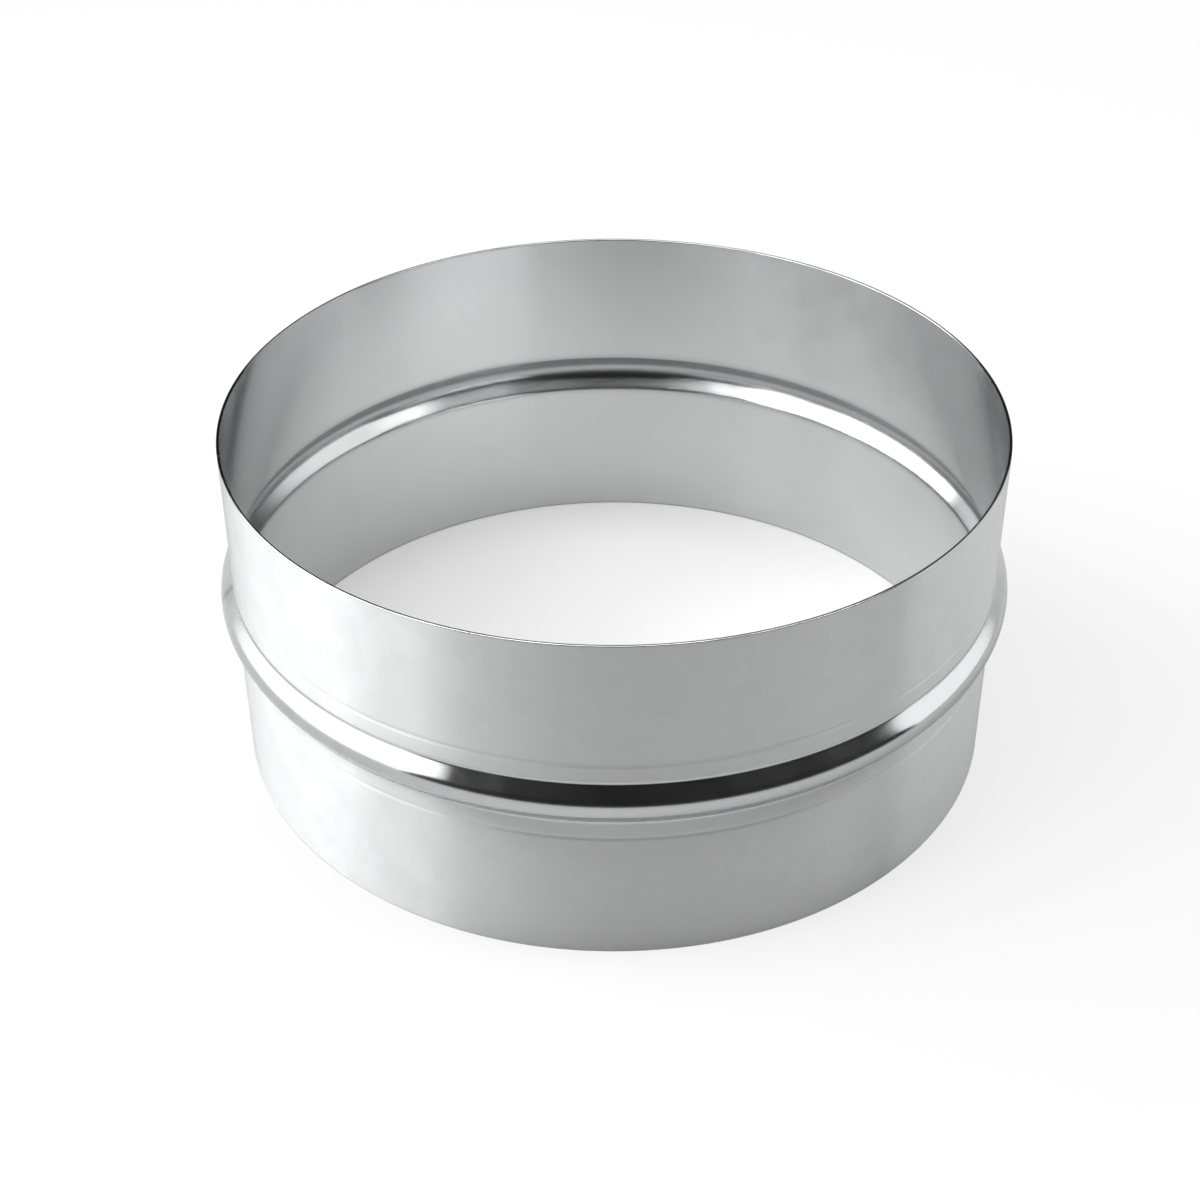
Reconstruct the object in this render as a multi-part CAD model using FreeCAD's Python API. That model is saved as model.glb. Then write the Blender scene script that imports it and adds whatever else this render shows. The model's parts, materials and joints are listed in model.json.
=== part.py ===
"""Male duct connector: one ring of thin sheet steel with a rolled stop bead.

Two straight spigots push into the ends of two round ducts, which come to a stop against the bead between
them. The ring stands on its lower rim: the origin is the centre of that rim, +Z runs up along the duct's
axis, and all sizes are in millimetres.
"""

import FreeCAD
import Part

import math
import os

from FreeCAD import Vector

# Driving dimensions
duct_bore_diameter = 160.0  # inside of the round duct that slides over each spigot
slip_gap = 0.5  # clearance between that duct and the spigot, on the radius
sheet_thickness = 0.6  # zinc-coated steel strip
lower_spigot_length = 32.5  # from the lower rim to the foot of the bead
upper_spigot_length = 30.5  # from the foot of the bead to the upper rim
bead_width = 9.5  # from foot to foot of the bead, along the axis
bead_height = 2.7  # crest of the bead above the outside of the spigots
bead_flank_angle = 40.0  # slope of the bead's straight flanks against the wall, in degrees
bead_root_radius = 0.9  # hollow at each foot of the bead, on the outside
rim_chamfer = 0.12  # dulled edges of the sheared rims

# Sizes that follow from them
outer_radius = duct_bore_diameter / 2 - slip_gap
inner_radius = outer_radius - sheet_thickness
bead_lower_foot = lower_spigot_length
bead_upper_foot = bead_lower_foot + bead_width
bead_middle = (bead_lower_foot + bead_upper_foot) / 2
overall_height = bead_upper_foot + upper_spigot_length
widest_chamfer_share = 0.4  # a rim keeps a flat land between its two dulled edges
chamfer = min(rim_chamfer, widest_chamfer_share * sheet_thickness)

# Half of the bead is a root arc, a straight flank tangent to it and half of the crest arc. With both arcs
# turning through the flank angle, its width and height leave one value for the sum of the two radii.
flank = math.radians(bead_flank_angle)
bead_half_width = bead_width / 2
radii_sum = (bead_half_width * math.sin(flank) - bead_height * math.cos(flank)) / (1 - math.cos(flank))
bead_crest_radius = radii_sum - bead_root_radius
root_axis = outer_radius + bead_root_radius
crest_axis = outer_radius + bead_height - bead_crest_radius


def point(radius, height):
    """A point of the section, which lies in the plane of the axis and +X."""
    return Vector(radius, 0, height)


def line(start, end):
    """A straight edge of the section."""
    return Part.LineSegment(start, end).toShape()


def on_circle(centre, radius, angle):
    """A point on a circle of the section: the angle is in radians, from the outward direction towards +Z."""
    return centre + point(radius * math.cos(angle), radius * math.sin(angle))


def arc(centre, radius, start_angle, end_angle):
    """A round edge of the section between two such angles."""
    angles = (start_angle, (start_angle + end_angle) / 2, end_angle)
    return Part.Arc(*(on_circle(centre, radius, angle) for angle in angles)).toShape()


def bead_edges(depth):
    """The bead from its lower foot to its upper one, on the face that lies this deep in the sheet."""
    root_radius = bead_root_radius + depth
    crest_radius = bead_crest_radius - depth
    lower_root = point(root_axis, bead_lower_foot)
    upper_root = point(root_axis, bead_upper_foot)
    crest = point(crest_axis, bead_middle)
    return [
        arc(lower_root, root_radius, math.pi, math.pi - flank),
        line(on_circle(lower_root, root_radius, math.pi - flank), on_circle(crest, crest_radius, -flank)),
        arc(crest, crest_radius, -flank, flank),
        line(on_circle(crest, crest_radius, flank), on_circle(upper_root, root_radius, math.pi + flank)),
        arc(upper_root, root_radius, math.pi + flank, math.pi),
    ]


def wall_edges(depth):
    """One face of the sheet from the lower rim to the upper one: depth is 0 outside, the sheet's inside."""
    radius = outer_radius - depth
    lower_spigot = line(point(radius, chamfer), point(radius, bead_lower_foot))
    upper_spigot = line(point(radius, bead_upper_foot), point(radius, overall_height - chamfer))
    return [lower_spigot, *bead_edges(depth), upper_spigot]


def rim_edges(height, wall_end):
    """The sheared end of the sheet, from the outside to the inside: wall_end is where the chamfers begin."""
    corners = [
        point(outer_radius, wall_end),
        point(outer_radius - chamfer, height),
        point(inner_radius + chamfer, height),
        point(inner_radius, wall_end),
    ]
    return [line(start, end) for start, end in zip(corners, corners[1:])]


def connector_sleeve():
    """The closed section of the sheet, turned once about the duct's axis."""
    outside = wall_edges(0)
    upper_rim = rim_edges(overall_height, overall_height - chamfer)
    inside = wall_edges(sheet_thickness)
    lower_rim = rim_edges(0, chamfer)
    outline = Part.Wire([*outside, *upper_rim, *reversed(inside), *reversed(lower_rim)])
    return Part.Face(outline).revolve(Vector(0, 0, 0), Vector(0, 0, 1), 360)


os.makedirs("parts", exist_ok=True)
sleeve = connector_sleeve()
sleeve.exportStep("parts/connector_sleeve.step")
print(f"connector_sleeve: {sleeve.ShapeType}, valid {sleeve.isValid()}, {sleeve.Volume:.1f} mm3")
print(f"outside diameter {2 * outer_radius:.2f} mm, height {overall_height:.2f} mm")
print(f"bead crest radius {bead_crest_radius:.3f} mm")
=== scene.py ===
"""Looks of the duct connector: a rolled ring of bright zinc-coated sheet on a pale studio floor.

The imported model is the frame. The ring is drawn again on it as one fine surface of revolution, from the
sizes that the frame gives, with the marks that the beading rolls and the planished joint leave in the
sheet. Lengths are in metres unless a name says otherwise.
"""

import json
import logging
import math
from dataclasses import dataclass, field
from enum import Enum
from typing import Any, Optional, Union

import bpy
import numpy as np
from mathutils import Matrix, Vector


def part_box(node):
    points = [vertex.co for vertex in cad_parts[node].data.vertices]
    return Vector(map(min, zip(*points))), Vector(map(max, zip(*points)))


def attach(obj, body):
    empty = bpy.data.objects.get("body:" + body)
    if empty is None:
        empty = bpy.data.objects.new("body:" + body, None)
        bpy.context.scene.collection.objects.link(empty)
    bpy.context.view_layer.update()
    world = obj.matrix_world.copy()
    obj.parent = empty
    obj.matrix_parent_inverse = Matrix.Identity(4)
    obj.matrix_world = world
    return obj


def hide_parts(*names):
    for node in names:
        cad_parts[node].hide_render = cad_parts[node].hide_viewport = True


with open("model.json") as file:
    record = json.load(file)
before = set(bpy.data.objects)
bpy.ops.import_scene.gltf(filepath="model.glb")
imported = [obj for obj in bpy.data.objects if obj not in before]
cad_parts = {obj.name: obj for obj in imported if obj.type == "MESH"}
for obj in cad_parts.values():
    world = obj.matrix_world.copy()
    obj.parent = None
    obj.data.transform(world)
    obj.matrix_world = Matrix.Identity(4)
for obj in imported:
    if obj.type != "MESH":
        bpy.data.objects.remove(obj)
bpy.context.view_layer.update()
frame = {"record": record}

log = logging.getLogger("duct_connector")

SLEEVE_NODE = "connector_sleeve"
MM_PER_M = 1000
# A little past a limit, so that points which lie on it count as within it.
ROUNDING_MARGIN = 1.01
# Numbers of a Mix node's sockets for colours, which share their names with those for values and vectors.
MIX_SHARE = 0
MIX_COLOUR_A = 6
MIX_COLOUR_B = 7
MIX_COLOUR_RESULT = 2

Colour = tuple[float, float, float]
Operand = Union["Signal", float]


class SheetFace(Enum):
    """The two faces of the sheet."""

    OUTSIDE = "outside"
    INSIDE = "inside"


class Layer(Enum):
    """What each point of the sheet carries for the finish, by the name of its mesh attribute."""

    INSIDE = "inside"
    BURNISH = "burnish"
    SHEARED = "sheared"
    JOINT = "joint"


SHEET_MAP = "sheet"


@dataclass(frozen=True)
class Signal:
    """One output of a shader graph, so that sums and products of it read as plain expressions."""

    graph: "ShaderGraph"
    socket: Optional[bpy.types.NodeSocket]

    def __add__(self, other: Operand) -> "Signal":
        """This value plus another."""
        return self.graph.math("ADD", self, other)

    def __radd__(self, other: Operand) -> "Signal":
        """Another value plus this one."""
        return self.graph.math("ADD", other, self)

    def __sub__(self, other: Operand) -> "Signal":
        """This value less another."""
        return self.graph.math("SUBTRACT", self, other)

    def __rsub__(self, other: Operand) -> "Signal":
        """Another value less this one."""
        return self.graph.math("SUBTRACT", other, self)

    def __mul__(self, other: Operand) -> "Signal":
        """This value times another."""
        return self.graph.math("MULTIPLY", self, other)

    def __rmul__(self, other: Operand) -> "Signal":
        """Another value times this one."""
        return self.graph.math("MULTIPLY", other, self)


class ShaderGraph:
    """The nodes of one material or world, emptied and then built up."""

    def __init__(self, tree: bpy.types.NodeTree) -> None:
        """Takes over a node tree and clears it."""
        self.tree = tree
        self.tree.nodes.clear()

    def node(
        self,
        kind: str,
        settings: Optional[dict[str, Any]] = None,
        inputs: Optional[dict[Union[str, int], Any]] = None,
        output: Union[str, int] = 0,
    ) -> Signal:
        """Adds one node.

        Args:
            kind: the node's type name.
            settings: its own properties, set before anything else because they can change its sockets.
            inputs: a signal to link or a plain value for each named or numbered input socket.
            output: the output socket to go on with.

        Returns:
            That output, or a signal with no socket for a node that ends the graph.
        """
        made = self.tree.nodes.new(kind)
        for name, value in (settings or {}).items():
            setattr(made, name, value)
        for key, value in (inputs or {}).items():
            if isinstance(value, Signal):
                self.tree.links.new(value.socket, made.inputs[key])
            else:
                made.inputs[key].default_value = value
        return Signal(self, made.outputs[output] if len(made.outputs) else None)

    def math(self, operation: str, left: Operand, right: Operand) -> Signal:
        """The result of one arithmetic operation on two values."""
        return self.node("ShaderNodeMath", {"operation": operation}, {0: left, 1: right})

    def blend(self, share: Operand, none: Any, full: Any) -> Signal:
        """A colour between two others, by the share of the second."""
        ends = {MIX_SHARE: share, MIX_COLOUR_A: none, MIX_COLOUR_B: full}
        return self.node("ShaderNodeMix", {"data_type": "RGBA"}, ends, MIX_COLOUR_RESULT)

    def layer(self, layer: Layer) -> Signal:
        """The value that the sheet's points carry for one layer."""
        return self.node("ShaderNodeAttribute", {"attribute_name": layer.value}, output="Fac")


def opaque(colour: Colour) -> tuple[float, float, float, float]:
    """A colour with the full alpha that a colour socket takes."""
    return (*colour, 1.0)


@dataclass(frozen=True)
class ZincSheet:
    """Bright zinc-coated sheet: faint spangle, fine rolling grain, and a gloss where the rolls pressed it.

    The shine of a place is its share of bright zinc, the rest being dull. The inside is made a brighter
    zinc, a painted sheen for the brighter light inside the ring, and the sheared rims show the steel.
    """

    dull_zinc: Colour = (0.44, 0.443, 0.447)
    bright_zinc: Colour = (0.8, 0.803, 0.807)
    bare_steel: Colour = (0.36, 0.36, 0.365)
    outside_shine: float = 0.3
    # painted sheen: the inner face is made brighter zinc than the outside, for the brighter light inside
    # the ring
    inside_painted_sheen: float = 0.4
    burnish_shine: float = -0.25
    joint_shine: float = -0.12
    spangle_shine: float = 0.03
    haze_shine: float = 0.03
    roughness: float = 0.37
    inside_roughness: float = -0.17
    burnish_roughness: float = -0.25
    sheared_roughness: float = -0.19
    joint_roughness: float = 0.1
    spangle_roughness: float = 0.006
    grain_roughness: float = 0.015
    haze_roughness: float = 0.006
    grain_stretch: float = 1.0
    grain_turn: float = 0.25
    grain_pitch: float = 0.0004
    grain_length: float = 0.05
    grain_depth: float = 0.0000015
    grain_octaves: float = 3.0
    grain_octave_share: float = 0.6
    spangle_size: float = 0.0045
    haze_size: float = 0.05
    haze_octaves: float = 3.0
    haze_octave_share: float = 0.55

    def spread(self, value: Signal) -> Signal:
        """A texture's value, which runs from 0 to 1, stretched to run from -1 to 1."""
        return value * 2.0 - 1.0

    def material(self, around: float, along: float) -> bpy.types.Material:
        """Builds the finish.

        Args:
            around: the sheet's length around the ring, which its map spans from 0 to 1.
            along: the length of the closed section, which its map spans from 0 to 1.

        Returns:
            The material.
        """
        made = bpy.data.materials.new("zinc_sheet")
        made.use_nodes = True
        graph = ShaderGraph(made.node_tree)
        place = graph.node("ShaderNodeTexCoord", output="Object")
        sheet = graph.node("ShaderNodeUVMap", {"uv_map": SHEET_MAP})
        stretched = graph.node(
            "ShaderNodeMapping",
            inputs={"Vector": sheet, "Scale": (around / self.grain_length, along / self.grain_pitch, 1.0)},
        )
        grain = self.spread(
            graph.node(
                "ShaderNodeTexNoise",
                {"noise_dimensions": "2D"},
                {
                    "Vector": stretched,
                    "Scale": 1.0,
                    "Detail": self.grain_octaves,
                    "Roughness": self.grain_octave_share,
                },
            )
        )
        cells = graph.node(
            "ShaderNodeTexVoronoi",
            inputs={"Vector": place, "Scale": 1.0 / self.spangle_size, "Randomness": 1.0},
            output="Color",
        )
        spangle = self.spread(graph.node("ShaderNodeSeparateColor", inputs={"Color": cells}))
        haze = self.spread(
            graph.node(
                "ShaderNodeTexNoise",
                inputs={
                    "Vector": place,
                    "Scale": 1.0 / self.haze_size,
                    "Detail": self.haze_octaves,
                    "Roughness": self.haze_octave_share,
                },
            )
        )
        inside = graph.layer(Layer.INSIDE)
        burnish = graph.layer(Layer.BURNISH)
        sheared = graph.layer(Layer.SHEARED)
        joint = graph.layer(Layer.JOINT)
        shine = (
            self.outside_shine
            # painted sheen: a brighter zinc on the inner face; the other terms are the zinc's own tone
            + inside * self.inside_painted_sheen
            + burnish * self.burnish_shine
            + joint * self.joint_shine
            + spangle * self.spangle_shine
            + haze * self.haze_shine
        )
        rough = (
            self.roughness
            + inside * self.inside_roughness
            + burnish * self.burnish_roughness
            + sheared * self.sheared_roughness
            + joint * self.joint_roughness
            + spangle * self.spangle_roughness
            + grain * self.grain_roughness
            + haze * self.haze_roughness
        )
        zinc = graph.blend(shine, opaque(self.dull_zinc), opaque(self.bright_zinc))
        height = grain * (1.0 - sheared)
        bump = graph.node(
            "ShaderNodeBump",
            inputs={"Strength": 1.0, "Distance": self.grain_depth, "Height": height},
        )
        shader = graph.node(
            "ShaderNodeBsdfPrincipled",
            inputs={
                "Base Color": graph.blend(sheared, zinc, opaque(self.bare_steel)),
                "Metallic": 1.0,
                "Roughness": rough,
                "Anisotropic": self.grain_stretch,
                "Anisotropic Rotation": self.grain_turn,
                "Normal": bump,
            },
        )
        graph.node("ShaderNodeOutputMaterial", inputs={"Surface": shader})
        return made


@dataclass(frozen=True)
class PaperFloor:
    """The matt pale paper that the connector stands on, with painted shade where only the metal mirrors it.

    The paper that the camera sees has a painted glow, so that the shadow round the ring stays soft. Inside
    the ring the painted glow is weaker, so that the shade at the foot of the wall shows. Away from the ring
    it blends into the pale wall, so that no edge shows.
    """

    ring_radius: float
    colour: Colour = (0.5, 0.5, 0.5)
    mirrored: Colour = (0.42, 0.42, 0.42)
    glow: Colour = (0.97, 0.97, 0.97)
    inner_glow: float = 0.15
    outer_glow: float = 0.75
    blend_start: float = 0.22
    blend_end: float = 0.7
    size: float = 30.0

    def lay(self) -> bpy.types.Object:
        """Lays the floor at the lower rim's height.

        Returns:
            The floor.
        """
        half = self.size / 2
        mesh = bpy.data.meshes.new("paper_floor")
        corners = [(-half, -half, 0.0), (half, -half, 0.0), (half, half, 0.0), (-half, half, 0.0)]
        mesh.from_pydata(corners, [], [(0, 1, 2, 3)])
        made = bpy.data.materials.new("floor_paper")
        made.use_nodes = True
        graph = ShaderGraph(made.node_tree)
        seen = graph.node("ShaderNodeLightPath", output="Is Camera Ray")
        place = graph.node("ShaderNodeTexCoord", output="Object")
        away = graph.node("ShaderNodeVectorMath", {"operation": "LENGTH"}, {0: place}, "Value")
        far = graph.node(
            "ShaderNodeMapRange",
            {"interpolation_type": "SMOOTHSTEP"},
            {
                "Value": away,
                "From Min": self.blend_start,
                "From Max": self.blend_end,
                "To Min": self.outer_glow,
            },
        )
        outside = graph.math("GREATER_THAN", away, self.ring_radius)
        # painted glow: weak inside the ring, stronger outside it and full far away
        share = self.inner_glow + outside * (far - self.inner_glow)
        # painted shade: the paper is darker in the metal's reflections than to the camera
        paper = graph.blend(seen, opaque(self.mirrored), opaque(self.colour))
        matt = graph.node("ShaderNodeBsdfDiffuse", inputs={"Color": paper})
        glowing = graph.node("ShaderNodeEmission", inputs={"Color": opaque(self.glow), "Strength": 1.0})
        shader = graph.node("ShaderNodeMixShader", inputs={0: share * seen, 1: matt, 2: glowing})
        graph.node("ShaderNodeOutputMaterial", inputs={"Surface": shader})
        mesh.materials.append(made)
        floor = bpy.data.objects.new("paper_floor", mesh)
        bpy.context.scene.collection.objects.link(floor)
        return floor


def straight(start: tuple[float, float], end: tuple[float, float], count: int) -> np.ndarray:
    """Points of a straight run: start + t (end - start), for t from 0 up to 1 with 1 left out.

    Args:
        start: first radius and height.
        end: radius and height that the run leads to.
        count: number of points.

    Returns:
        A row of radius and height for each point.
    """
    share = np.linspace(0.0, 1.0, count, endpoint=False)[:, None]
    return np.array(start) + share * (np.array(end) - np.array(start))


def on_bend(centre: tuple[float, float], radius: float, angle: float) -> tuple[float, float]:
    """A point of a bend: the centre plus the radius times the angle's cosine outwards and sine upwards."""
    return (centre[0] + radius * math.cos(angle), centre[1] + radius * math.sin(angle))


def bend(centre: tuple[float, float], radius: float, start: float, end: float, count: int) -> np.ndarray:
    """Points of a bend at even angles from start up to end, with the end left out.

    Args:
        centre: radius and height of the bend's own axis.
        radius: the bend's radius.
        start: first angle.
        end: angle that the bend leads to.
        count: number of points.

    Returns:
        A row of radius and height for each point.
    """
    angles = np.linspace(start, end, count, endpoint=False)
    return np.stack([centre[0] + radius * np.cos(angles), centre[1] + radius * np.sin(angles)], axis=1)


@dataclass(frozen=True)
class SleeveSizes:
    """Sizes of the formed sheet, from the ring's axis outwards and from the lower rim upwards."""

    outer_radius: float
    inner_radius: float
    bead_reach: float
    lower_foot: float
    upper_foot: float
    height: float
    rim_chamfer: float
    flank_angle: float = math.radians(40.0)
    root_bend: float = 0.0009

    @classmethod
    def from_frame(cls, record: dict[str, Any], corners: tuple[Vector, Vector]) -> "SleeveSizes":
        """Reads the sizes off the frame.

        Args:
            record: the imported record, whose mounts give the spigots and the bore.
            corners: lowest and highest corner of the ring's box.

        Returns:
            The sizes.
        """
        mounts = {mount["name"]: mount for mount in record["mounts"]}
        upper, lower, bore = (mounts[name] for name in ("upper_spigot", "lower_spigot", "through_bore"))
        upper_half = upper["dims"]["length_mm"] / MM_PER_M / 2
        lower_half = lower["dims"]["length_mm"] / MM_PER_M / 2
        height = corners[1].z - corners[0].z
        return cls(
            outer_radius=upper["dims"]["r_mm"] / MM_PER_M,
            inner_radius=bore["dims"]["r_mm"] / MM_PER_M,
            bead_reach=(corners[1].x - corners[0].x) / 2,
            lower_foot=lower["pos_m"][2] + lower_half,
            upper_foot=upper["pos_m"][2] - upper_half,
            height=height,
            rim_chamfer=height - upper["pos_m"][2] - upper_half,
        )

    @property
    def middle_radius(self) -> float:
        """Radius of the straight wall's middle, between its two faces."""
        return (self.outer_radius + self.inner_radius) / 2

    @property
    def bead_middle(self) -> float:
        """Height of the bead's crest."""
        return (self.lower_foot + self.upper_foot) / 2

    @property
    def crest_bend(self) -> float:
        """Radius of the crest's bend, outside: what the bead's width and height leave for it."""
        half_width = (self.upper_foot - self.lower_foot) / 2
        rise = self.bead_reach - self.outer_radius
        sine, cosine = math.sin(self.flank_angle), math.cos(self.flank_angle)
        return (half_width * sine - rise * cosine) / (1 - cosine) - self.root_bend


@dataclass
class RolledSleeve:
    """The whole connector: one strip of sheet rolled to a ring, joined, and beaded between two rolls.

    The slack is how far the thin sheet gives way from a true circle, in waves round the ring and in a
    slight oval. Steps are numbers of points along the runs of the section.
    """

    sizes: SleeveSizes
    finish: ZincSheet = field(default_factory=ZincSheet)
    steps_around: int = 400
    step_crowding: float = 0.7
    roll_mark_offset: float = 0.0085
    roll_mark_depth: float = 0.00015
    roll_mark_width: float = 0.0004
    joint_azimuth: float = math.radians(192.5)
    joint_width: float = 0.0011
    joint_dip: float = 0.00003
    slack_depth: float = 0.00006
    slack_waves: int = 9
    wave_share: float = 0.35
    wave_rise: float = 1.1
    oval_share: float = 0.65
    oval_turn: float = 0.8
    oval_fade: float = 1 / 3
    hollow_loss: float = 0.3
    burnish_fade: float = 0.0008
    mark_margin: float = 0.001
    edge_band: float = 0.0006
    rim_steps: int = 4
    edge_steps: int = 3
    spigot_steps: int = 8
    marked_steps: int = 22
    unmarked_steps: int = 5
    root_steps: int = 8
    flank_steps: int = 3
    crest_steps: int = 20

    def wall(self, face: SheetFace) -> np.ndarray:
        """One face of the sheet from the lower rim to the upper one.

        The straight spigots lead into a bend at each foot of the bead, a straight flank and the crest's
        bend. The inside follows the same centres with the sheet's thickness added or taken off.

        Args:
            face: which face.

        Returns:
            A row of radius and height for each point, upwards.
        """
        s = self.sizes
        depth = 0.0 if face is SheetFace.OUTSIDE else s.outer_radius - s.inner_radius
        radius = s.outer_radius - depth
        root = s.root_bend + depth
        crest = s.crest_bend - depth
        inward, flank = math.pi, s.flank_angle
        lower_root = (s.outer_radius + s.root_bend, s.lower_foot)
        upper_root = (s.outer_radius + s.root_bend, s.upper_foot)
        middle = (s.bead_reach - s.crest_bend, s.bead_middle)
        lower_flank = (on_bend(lower_root, root, inward - flank), on_bend(middle, crest, -flank))
        upper_flank = (on_bend(middle, crest, flank), on_bend(upper_root, root, inward + flank))
        land = self.roll_mark_offset + self.mark_margin
        low_land, high_land = s.bead_middle - land, s.bead_middle + land
        land_steps = self.marked_steps if face is SheetFace.OUTSIDE else self.unmarked_steps
        low_edge, high_edge = self.edge_band, s.height - self.edge_band
        low_end, high_end = s.rim_chamfer, s.height - s.rim_chamfer
        runs = [
            straight((radius, low_end), (radius, low_edge), self.edge_steps),
            straight((radius, low_edge), (radius, low_land), self.spigot_steps),
            straight((radius, low_land), (radius, s.lower_foot), land_steps),
            bend(lower_root, root, inward, inward - flank, self.root_steps),
            straight(*lower_flank, self.flank_steps),
            bend(middle, crest, -flank, flank, self.crest_steps),
            straight(*upper_flank, self.flank_steps),
            bend(upper_root, root, inward + flank, inward, self.root_steps),
            straight((radius, s.upper_foot), (radius, high_land), land_steps),
            straight((radius, high_land), (radius, high_edge), self.spigot_steps),
            straight((radius, high_edge), (radius, high_end), self.edge_steps),
            np.array([[radius, high_end]]),
        ]
        points = np.concatenate(runs)
        return self.marked(points) if face is SheetFace.OUTSIDE else points

    def marked(self, points: np.ndarray) -> np.ndarray:
        """Presses the edges of the beading roll into the outside: a bell-shaped dip at each mark's height.

        Args:
            points: radius and height of the outside.

        Returns:
            The same points with the radius lowered at the marks.
        """
        heights = self.sizes.bead_middle + self.roll_mark_offset * np.array([-1.0, 1.0])
        away = (points[:, 1:2] - heights) / self.roll_mark_width
        dip = self.roll_mark_depth * np.exp(-(away**2)).sum(axis=1)
        return points - np.stack([dip, np.zeros_like(dip)], axis=1)

    def section(self) -> np.ndarray:
        """The closed section of the sheet: up the outside, over the upper rim, down the inside and back.

        Returns:
            A row of radius and height for each point.
        """
        s = self.sizes
        across = np.linspace(s.outer_radius - s.rim_chamfer, s.inner_radius + s.rim_chamfer, self.rim_steps)
        upper_rim = np.stack([across, np.full(self.rim_steps, s.height)], axis=1)
        lower_rim = np.stack([across[::-1], np.zeros(self.rim_steps)], axis=1)
        inside = self.wall(SheetFace.INSIDE)[::-1]
        return np.concatenate([self.wall(SheetFace.OUTSIDE), upper_rim, inside, lower_rim])

    def surface(self, section: np.ndarray) -> np.ndarray:
        """Carries the section round the axis.

        Each point is (r cos a, r sin a, z). The radius gives way, by twice the slack's depth at most, as
        thin sheet does: the slack's depth times 1 plus a share of cos(waves a) cos(2 pi rise h) and a
        share of the oval cos(2 a + turn) (1 - fade h), where h is the share of the height. It also dips
        a little along the joint.

        Args:
            section: radius and height of each point of the section.

        Returns:
            Places by step around and point of the section.
        """
        turn = self.turns()[:-1]
        heights = section[:, 1] / self.sizes.height
        waves = np.cos(self.slack_waves * turn)[:, None] * np.cos(2 * np.pi * self.wave_rise * heights)
        oval = np.cos(2 * turn + self.oval_turn)[:, None] * (1 - self.oval_fade * heights)
        slack = self.slack_depth * (1 + self.wave_share * waves + self.oval_share * oval)
        dip = self.joint_dip * self.joint_share()[:, None]
        radius = section[:, 0] - slack - dip
        azimuth = (turn + self.joint_azimuth)[:, None]
        height = np.broadcast_to(section[:, 1], radius.shape)
        return np.stack([radius * np.cos(azimuth), radius * np.sin(azimuth), height], axis=2)

    def turns(self) -> np.ndarray:
        """Angles of the steps once round from the joint, closer at it: 2 pi t - crowding sin(2 pi t)."""
        turn = np.linspace(0.0, 2 * np.pi, self.steps_around + 1)
        return turn - self.step_crowding * np.sin(turn)

    def joint_share(self) -> np.ndarray:
        """How far each step around belongs to the joint: a bell of the distance from it along the ring.

        Returns:
            A share from 0 to 1 for each step.
        """
        turn = self.turns()[:-1]
        away = np.minimum(turn, 2 * np.pi - turn) * self.sizes.outer_radius
        return np.exp(-((away / self.joint_width) ** 2))

    def layers(self, section: np.ndarray) -> dict[Layer, np.ndarray]:
        """What each point carries for the finish, from 0 to 1.

        Inside is full on the inner wall beside the bead's hollow; burnish is full on the bead's outside and
        weaker in its hollow; sheared is full on the rims; joint fades out from the line where the strip's
        ends meet.

        Args:
            section: radius and height of each point of the section.

        Returns:
            Values by step around and point of the section, for each layer.
        """
        s = self.sizes
        height = section[:, 1]
        away = np.abs(height - s.bead_middle)
        half_width = (s.upper_foot - s.lower_foot) / 2
        on_bead = np.clip((half_width - away) / self.burnish_fade + 0.5, 0.0, 1.0)
        chamfer = s.rim_chamfer * ROUNDING_MARGIN
        rim = (height < chamfer) | (height > s.height - chamfer)
        inner = ((np.arange(len(section)) > len(self.wall(SheetFace.OUTSIDE))) & ~rim).astype(float)
        steps = (self.steps_around, 1)
        return {
            Layer.INSIDE: np.tile(inner * (1.0 - on_bead), steps),
            Layer.BURNISH: np.tile(on_bead * (1.0 - self.hollow_loss * inner), steps),
            Layer.SHEARED: np.tile(rim.astype(float), steps),
            Layer.JOINT: np.repeat(self.joint_share()[:, None], len(section), axis=1),
        }

    def mesh(self, section: np.ndarray) -> bpy.types.Mesh:
        """Joins the grid of places to faces that close both ways, and gives it its map and layers.

        The map runs from 0 to 1 around the ring from the joint, and from 0 to 1 along the section by its
        own length, from the lower rim up the outside.

        Args:
            section: radius and height of each point of the section.

        Returns:
            The ring's mesh.
        """
        around, along = self.steps_around, len(section)
        step, point = np.meshgrid(np.arange(around), np.arange(along), indexing="ij")
        next_step, next_point = step + 1, point + 1
        corner_steps = np.stack([step, next_step, next_step, step], axis=2)
        corner_points = np.stack([point, point, next_point, next_point], axis=2)
        faces = (corner_steps % around) * along + corner_points % along
        closed = np.vstack([section, section[:1]])
        lengths = np.concatenate([[0.0], np.linalg.norm(np.diff(closed, axis=0), axis=1).cumsum()])
        turn = self.turns()[corner_steps] / (2 * np.pi)
        spots = np.stack([turn, lengths[corner_points] / lengths[-1]], axis=3)
        mesh = bpy.data.meshes.new(SLEEVE_NODE + "_formed")
        mesh.from_pydata(self.surface(section).reshape(-1, 3), [], faces.reshape(-1, 4))
        mesh.polygons.foreach_set("use_smooth", np.ones(around * along, dtype=bool))
        mesh.uv_layers.new(name=SHEET_MAP).uv.foreach_set("vector", spots.astype(np.float32).ravel())
        for layer, values in self.layers(section).items():
            attribute = mesh.attributes.new(layer.value, "FLOAT", "POINT")
            attribute.data.foreach_set("value", values.astype(np.float32).ravel())
        mesh.update()
        mesh.materials.append(self.finish.material(2 * math.pi * self.sizes.outer_radius, lengths[-1]))
        return mesh

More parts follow.
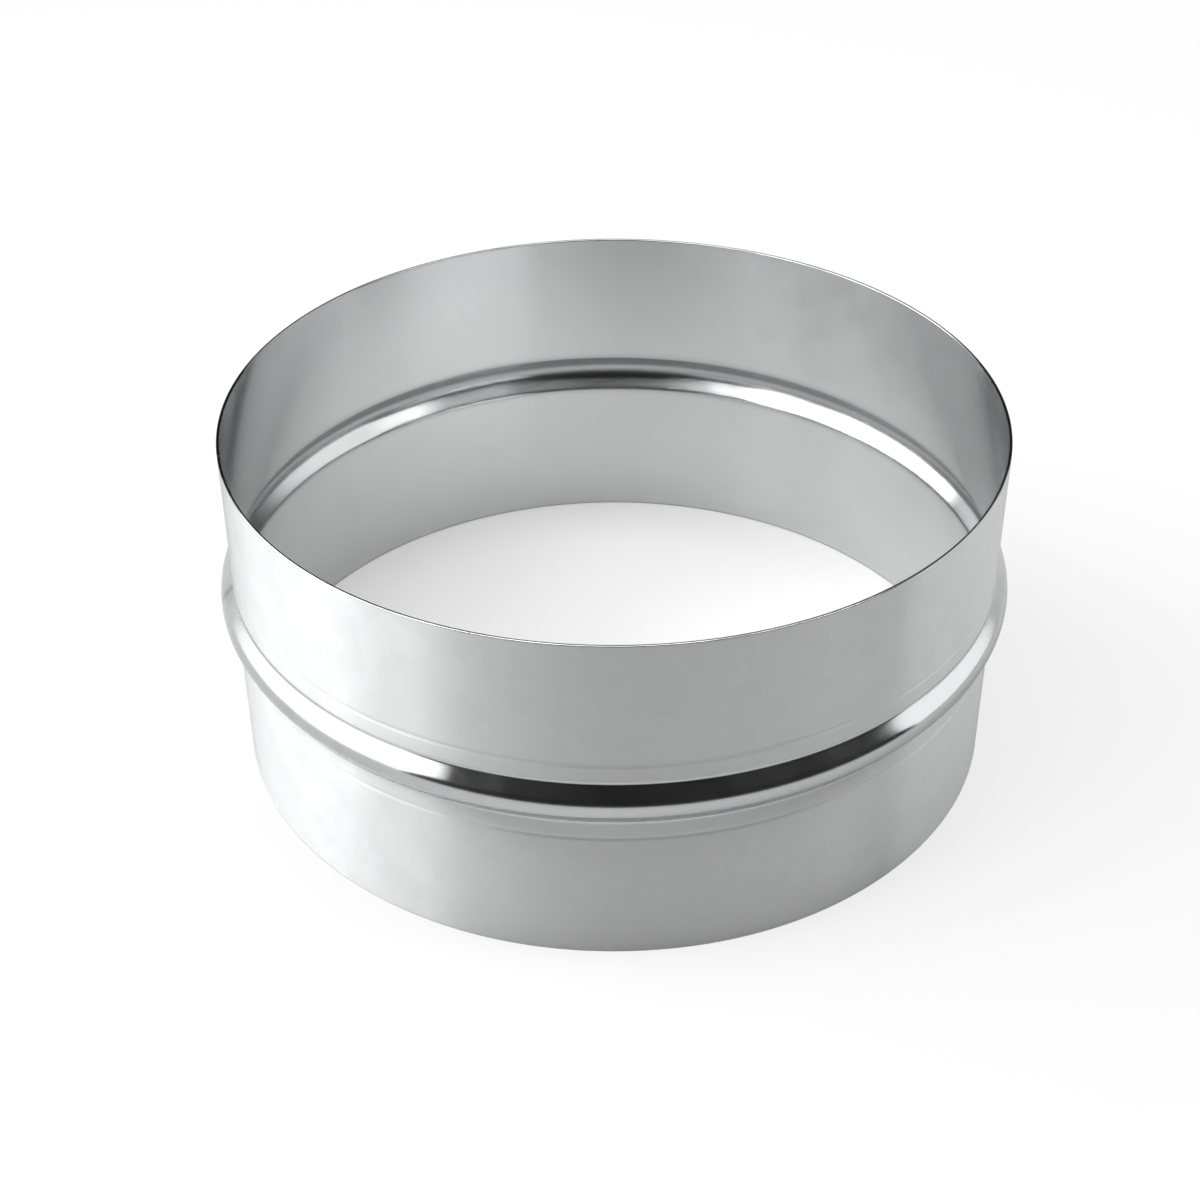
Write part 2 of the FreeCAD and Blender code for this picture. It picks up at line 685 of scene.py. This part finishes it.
    def build(self) -> bpy.types.Object:
        """Builds the ring, dressed, in the place of its solid.

        Returns:
            The ring.
        """
        section = self.section()
        piece = bpy.data.objects.new(SLEEVE_NODE + "_formed", self.mesh(section))
        bpy.context.scene.collection.objects.link(piece)
        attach(piece, "root")
        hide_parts(SLEEVE_NODE)
        log.info("%s: %d faces", piece.name, len(piece.data.polygons))
        return piece


def towards(azimuth_deg: float, elevation_deg: float) -> Vector:
    """The unit direction (sin a cos e, -cos a cos e, sin e).

    Args:
        azimuth_deg: the angle a, from the front round to the right.
        elevation_deg: the angle e above the floor.

    Returns:
        The direction.
    """
    azimuth, elevation = math.radians(azimuth_deg), math.radians(elevation_deg)
    level = math.cos(elevation)
    return Vector((math.sin(azimuth) * level, -math.cos(azimuth) * level, math.sin(elevation)))


@dataclass(frozen=True)
class Softbox:
    """A flat diffuse lamp that faces the ring."""

    name: str
    azimuth_deg: float
    elevation_deg: float
    width: float
    height: float
    brightness: float
    distance: float = 2.5
    aim_height: float = 0.03

    def hang(self) -> bpy.types.Object:
        """Hangs the lamp with the power that gives its face this brightness.

        Returns:
            The lamp.
        """
        lamp = bpy.data.lights.new(self.name, "AREA")
        lamp.shape = "RECTANGLE"
        lamp.size = self.width
        lamp.size_y = self.height
        lamp.energy = self.brightness * self.width * self.height * math.pi
        out = towards(self.azimuth_deg, self.elevation_deg)
        turned = (-out).to_track_quat("-Z", "Y").to_matrix().to_4x4()
        placed = bpy.data.objects.new(self.name, lamp)
        aim = Vector((0.0, 0.0, self.aim_height))
        placed.matrix_world = Matrix.Translation(aim + out * self.distance) @ turned
        placed.visible_camera = False
        bpy.context.scene.collection.objects.link(placed)
        log.info("%s: %.1f W", self.name, lamp.energy)
        return placed


@dataclass(frozen=True)
class PhotoCamera:
    """The camera at the photograph's angle.

    Its place, aim, lens and roll were fitted to the edges of the two rims, as measured on the photograph.
    """

    place: tuple[float, float, float] = (0.0, -0.36604, 0.28583)
    aim: tuple[float, float, float] = (-0.00297, 0.0, 0.02584)
    lens_mm: float = 62.789
    sensor_mm: float = 36.0
    roll_deg: float = -0.2996
    nearest: float = 0.01

    def stand(self) -> bpy.types.Object:
        """Sets the camera up as the scene's own.

        Returns:
            The camera.
        """
        lens = bpy.data.cameras.new("photo_camera")
        lens.lens = self.lens_mm
        lens.sensor_width = self.sensor_mm
        lens.clip_start = self.nearest
        place = Vector(self.place)
        looking = (Vector(self.aim) - place).to_track_quat("-Z", "Y").to_matrix().to_4x4()
        camera = bpy.data.objects.new("photo_camera", lens)
        camera.matrix_world = (
            Matrix.Translation(place) @ looking @ Matrix.Rotation(math.radians(self.roll_deg), 4, "Z")
        )
        bpy.context.scene.collection.objects.link(camera)
        bpy.context.scene.camera = camera
        return camera


@dataclass(frozen=True)
class Studio:
    """The pale room: a paper floor, ten softboxes, and walls that are pale only where the camera looks.

    The lamps were picked from trial patches of the room. Their brightness is the rounded result of a fit to
    the tones in the photograph, with left_key and right_wall then set a little lower.
    """

    floor: PaperFloor
    # Each lamp has its name, azimuth and elevation in degrees, width, height and brightness.
    softboxes: tuple[Softbox, ...] = (
        Softbox("left_wall", 268.5, 22.5, 3.95, 1.96, 2.2),
        Softbox("left_key", 258.0, 36.0, 2.06, 0.8, 11.0),
        Softbox("front_left_key", 300.0, 46.0, 0.49, 0.7, 11.0),
        Softbox("left_window", 276.0, 59.0, 1.1, 1.15, 5.7),
        Softbox("front_left_window", 306.0, 68.0, 0.6, 1.06, 8.0),
        Softbox("right_wall", 107.5, 22.5, 2.4, 1.96, 1.8),
        Softbox("right_window", 86.0, 59.0, 0.64, 1.15, 9.0),
        Softbox("front_right_window", 56.0, 68.0, 0.54, 1.06, 3.3),
        Softbox("back_window", 179.0, 65.0, 1.17, 1.15, 0.8),
        Softbox("ceiling", 0.0, 90.0, 1.2, 1.2, 7.0),
    )
    wall: Colour = (0.97, 0.97, 0.97)
    ambience: float = 0.02

    def light(self) -> None:
        """Lights the ring and shows the walls as plain pale backdrop."""
        world = bpy.data.worlds.new("studio")
        world.use_nodes = True
        graph = ShaderGraph(world.node_tree)
        seen = graph.node("ShaderNodeLightPath", output="Is Camera Ray")
        tone = opaque(self.wall)
        dim = graph.node("ShaderNodeBackground", inputs={"Color": tone, "Strength": self.ambience})
        pale = graph.node("ShaderNodeBackground", inputs={"Color": tone, "Strength": 1.0})
        backdrop = graph.node("ShaderNodeMixShader", inputs={0: seen, 1: dim, 2: pale})
        graph.node("ShaderNodeOutputWorld", inputs={"Surface": backdrop})
        bpy.context.scene.world = world
        bpy.context.scene.view_settings.view_transform = "Standard"
        self.floor.lay()
        for softbox in self.softboxes:
            softbox.hang()


def main() -> None:
    """Builds the ring, the studio and the camera in order."""
    logging.basicConfig(level=logging.INFO, format="%(name)s: %(message)s")
    sizes = SleeveSizes.from_frame(frame["record"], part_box(SLEEVE_NODE))
    log.info("sizes: %s", sizes)
    RolledSleeve(sizes).build()
    Studio(PaperFloor(sizes.middle_radius)).light()
    PhotoCamera().stand()


if __name__ == "__main__":
    main()
